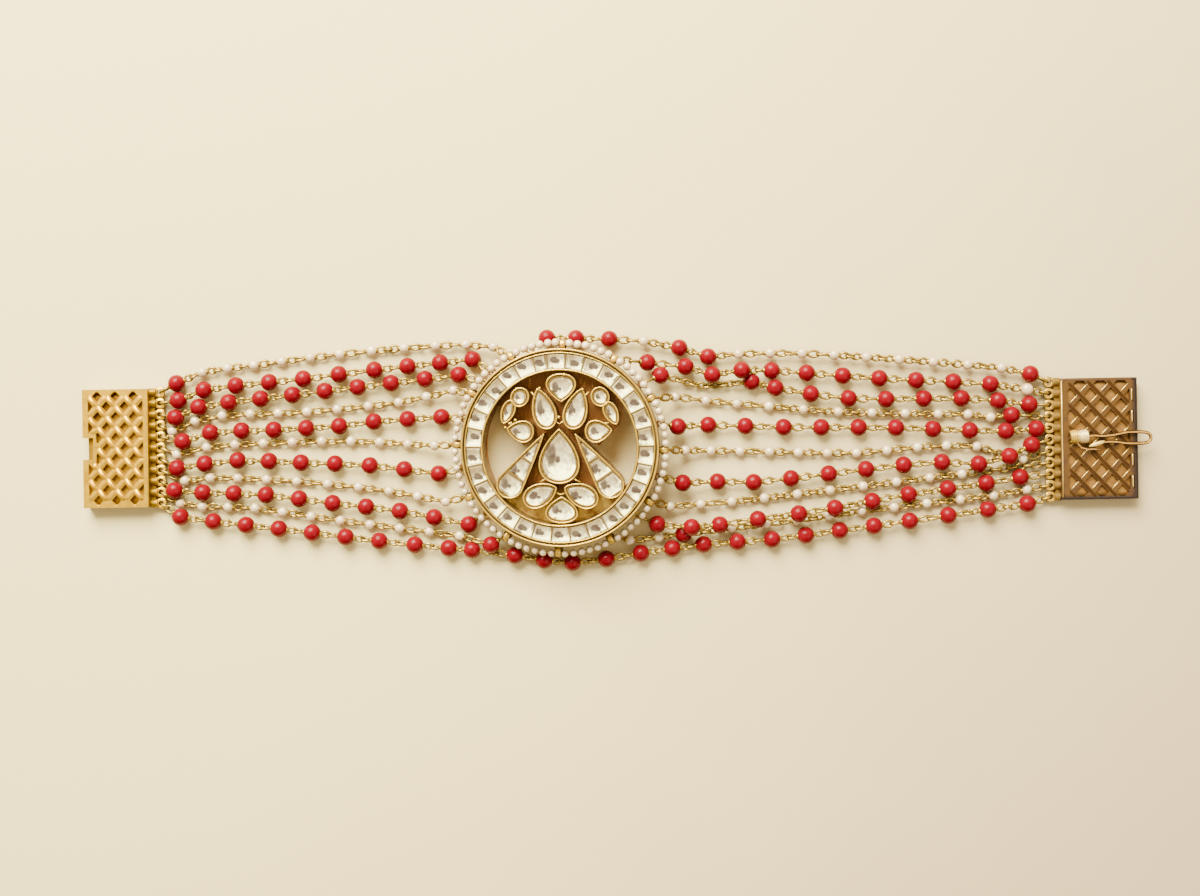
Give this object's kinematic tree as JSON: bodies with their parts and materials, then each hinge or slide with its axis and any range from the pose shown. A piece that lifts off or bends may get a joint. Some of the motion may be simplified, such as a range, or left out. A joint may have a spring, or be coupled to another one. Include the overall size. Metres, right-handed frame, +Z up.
{
  "type": "kundan bracelet",
  "caption": "Bracelet laid open and flat: strands of coral and pearl beads join a round stone-set medallion to the two halves of a pierced clasp.",
  "frame": {"origin": "centre of the outline of the open bracelet, on the surface that it lies on", "axes": "+X along the bracelet, from the box half of the clasp to the plate half with its catch; +Y across it, towards the medallion's top stone; +Z up"},
  "size_m": [0.1918, 0.0434, 0.0092],
  "materials": {
    "pale_gold": "satin",
    "brown_gold": "satin",
    "rim_gold": "polished",
    "gold_wire": "polished",
    "coral": "glossy",
    "pearl": "pearly",
    "stone": "cut and polished"
  },
  "bodies": {
    "root": {"clasp_box": "pale_gold", "clasp_plate": "brown_gold", "catch_wire": "gold_wire", "medallion_frame": "rim_gold", "ring_stones": "stone", "top_stone": "stone", "left_wing_stone": "stone", "right_wing_stone": "stone", "left_round_stone": "stone", "right_round_stone": "stone", "left_oval_stone": "stone", "right_oval_stone": "stone", "left_pear_stone": "stone", "right_pear_stone": "stone", "centre_stone": "stone", "left_leaf_stone": "stone", "right_leaf_stone": "stone", "bottom_stone": "stone", "left_petal_tip_stone": "stone", "left_petal_middle_stone": "stone", "left_petal_end_stone": "stone", "right_petal_tip_stone": "stone", "right_petal_middle_stone": "stone", "right_petal_end_stone": "stone", "left_pearl_strand_1": "pearl", "left_pearl_strand_2": "pearl", "left_pearl_strand_3": "pearl", "left_pearl_strand_4": "pearl", "left_pearl_strand_5": "pearl", "right_pearl_strand_2": "pearl", "right_pearl_strand_3": "pearl", "right_pearl_strand_4": "pearl", "right_pearl_strand_5": "pearl", "left_coral_beads_1": "coral", "left_coral_beads_2": "coral", "left_coral_beads_3": "coral", "left_coral_beads_4": "coral", "left_coral_beads_5": "coral", "right_coral_beads_1": "coral", "right_coral_beads_2": "coral", "right_coral_beads_3": "coral", "right_coral_beads_4": "coral", "right_coral_beads_5": "coral", "lower_coral_beads": "coral", "upper_coral_beads": "coral", "left_coral_wire_1": "gold_wire", "left_coral_wire_2": "gold_wire", "left_coral_wire_3": "gold_wire", "left_coral_wire_4": "gold_wire", "left_coral_wire_5": "gold_wire", "right_coral_wire_1": "gold_wire", "right_coral_wire_2": "gold_wire", "right_coral_wire_3": "gold_wire", "right_coral_wire_4": "gold_wire", "right_coral_wire_5": "gold_wire", "lower_coral_wire": "gold_wire", "upper_wire": "gold_wire", "upper_pearl_beads": "pearl", "large_pearl": "pearl"}
  },
  "joints": []
}
